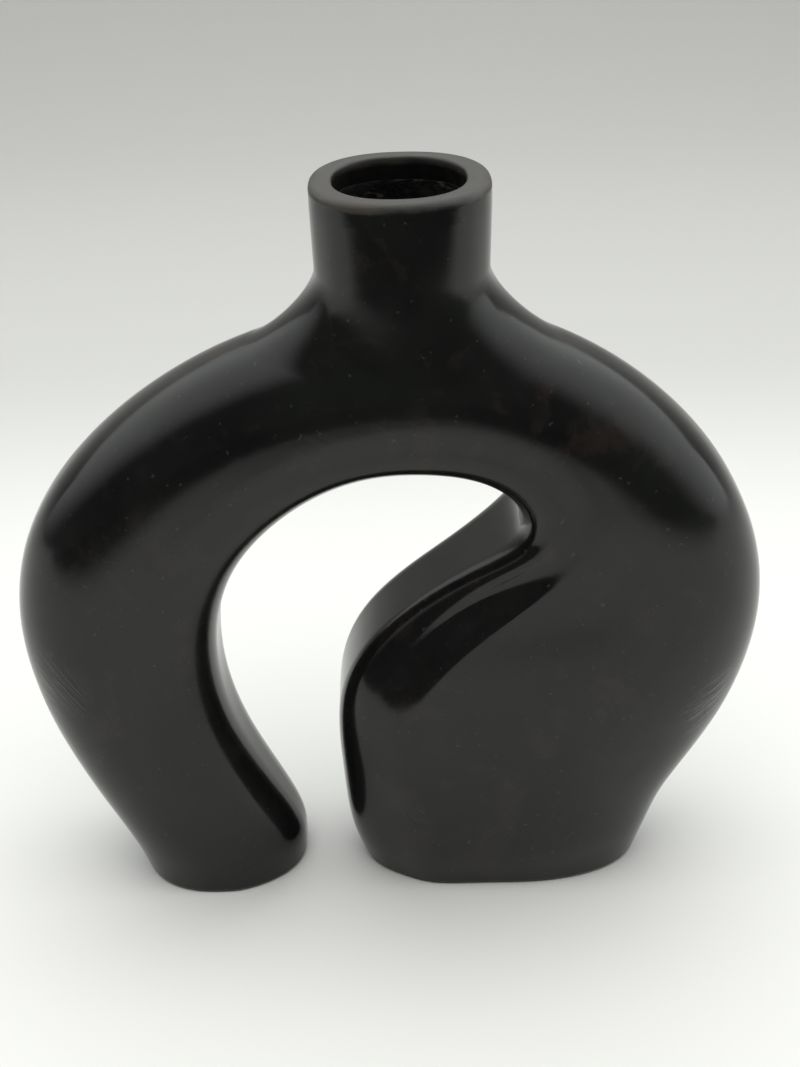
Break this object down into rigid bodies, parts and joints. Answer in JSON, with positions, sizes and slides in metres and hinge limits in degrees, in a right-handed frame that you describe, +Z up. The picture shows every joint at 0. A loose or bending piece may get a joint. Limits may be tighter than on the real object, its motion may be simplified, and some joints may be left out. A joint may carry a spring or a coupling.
{
  "type": "arch vase",
  "caption": "Hand-built black clay vase: one hollow arm arches from foot to foot, swells to a broad lobe, and carries a round neck and mouth at its crown.",
  "frame": {"origin": "on the resting plane, under the middle of the vase's width and depth", "axes": "+Z up through the neck, -Y the front face, +X towards the broad lobe"},
  "size_m": [0.2301, 0.06, 0.233],
  "materials": {
    "burnished_clay": "burnished black clay, satin to glossy, unglazed",
    "lip_clay": "worn black clay, satin, with a faint brown tint",
    "raw_clay": "unburnished clay, matt",
    "luting_clay": "rough unburnished clay, matt"
  },
  "bodies": {
    "root": {"front_shell": "burnished_clay", "back_shell": "burnished_clay", "neck": "burnished_clay", "lip": "lip_clay", "left_foot_base": "raw_clay", "right_foot_base": "raw_clay", "seam_coil_left": "luting_clay", "seam_coil_right": "luting_clay", "seam_coil_arch": "luting_clay"}
  },
  "joints": []
}
